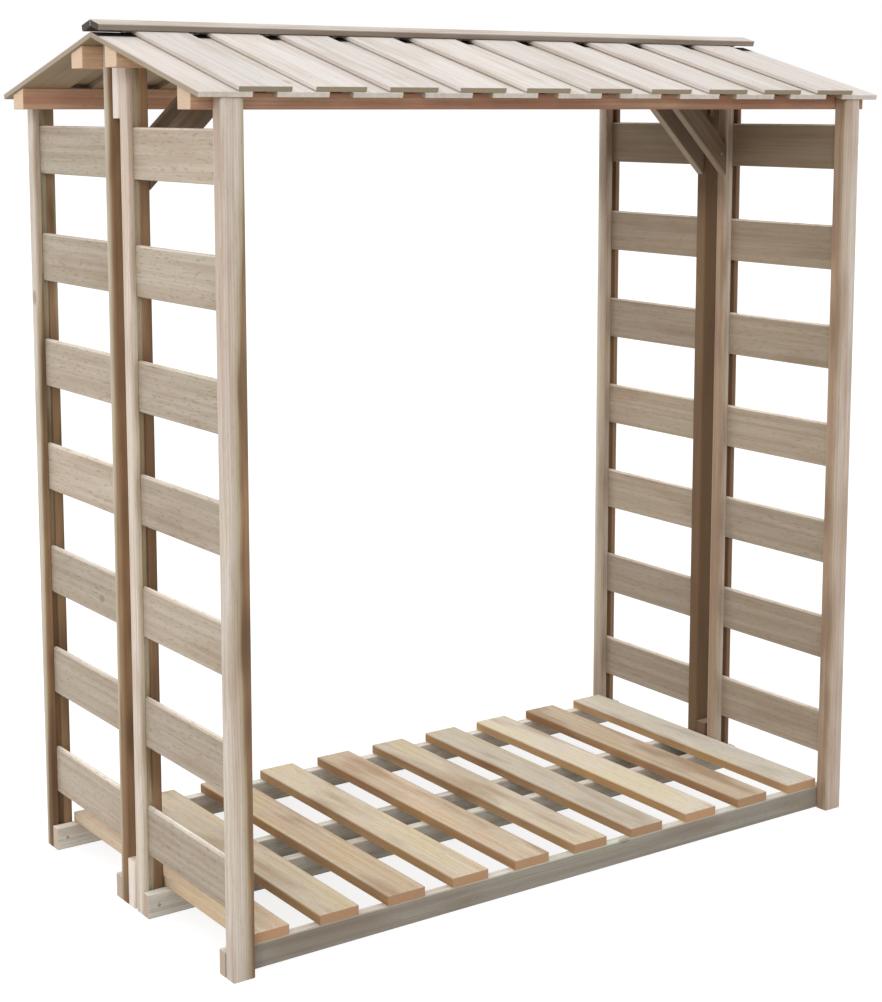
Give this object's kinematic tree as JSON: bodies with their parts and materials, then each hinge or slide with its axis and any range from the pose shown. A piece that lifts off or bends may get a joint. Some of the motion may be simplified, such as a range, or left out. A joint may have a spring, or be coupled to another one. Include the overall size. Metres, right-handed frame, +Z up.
{
  "type": "log store",
  "caption": "Open-fronted timber log store with slatted sides, a raised slatted floor and a gabled roof of overlapping boards, for stacking and drying firewood.",
  "frame": {"origin": "on the ground, at the middle of the store's width and depth", "axes": "+Z up, +X along the ridge to the right seen from the front, -Y towards the front"},
  "size_m": [1.62, 0.83, 1.7],
  "materials": {
    "post": "planed pressure-impregnated softwood, unpainted",
    "bearer": "planed pressure-impregnated softwood, unpainted",
    "beam": "planed pressure-impregnated softwood, unpainted",
    "brace": "planed pressure-impregnated softwood, unpainted",
    "spacer": "planed pressure-impregnated softwood, unpainted",
    "side_slat": "planed pressure-impregnated softwood, unpainted",
    "floor_slat": "planed pressure-impregnated softwood, unpainted",
    "roof_board": "planed pressure-impregnated softwood, unpainted",
    "ridge_cap": "planed pressure-impregnated softwood, unpainted"
  },
  "bodies": {
    "root": {"front_left_post": "post", "front_right_post": "post", "rear_left_post": "post", "rear_right_post": "post", "front_left_ridge_post": "post", "front_right_ridge_post": "post", "rear_left_ridge_post": "post", "rear_right_ridge_post": "post", "front_bearer": "bearer", "front_inner_bearer": "bearer", "rear_inner_bearer": "bearer", "rear_bearer": "bearer", "front_eave_beam": "beam", "rear_eave_beam": "beam", "front_ridge_beam": "beam", "rear_ridge_beam": "beam", "front_left_brace": "brace", "front_right_brace": "brace", "rear_left_brace": "brace", "rear_right_brace": "brace", "left_top_spacer": "spacer", "left_foot_spacer": "spacer", "right_top_spacer": "spacer", "right_foot_spacer": "spacer", "front_left_slats": "side_slat", "front_right_slats": "side_slat", "rear_left_slats": "side_slat", "rear_right_slats": "side_slat", "floor_slat_1": "floor_slat", "floor_slat_2": "floor_slat", "floor_slat_3": "floor_slat", "floor_slat_4": "floor_slat", "floor_slat_5": "floor_slat", "floor_slat_6": "floor_slat", "floor_slat_7": "floor_slat", "floor_slat_8": "floor_slat", "floor_slat_9": "floor_slat", "floor_slat_10": "floor_slat", "front_under_boards": "roof_board", "rear_under_boards": "roof_board", "front_over_boards": "roof_board", "rear_over_boards": "roof_board", "front_ridge_cap": "ridge_cap", "rear_ridge_cap": "ridge_cap"}
  },
  "joints": []
}
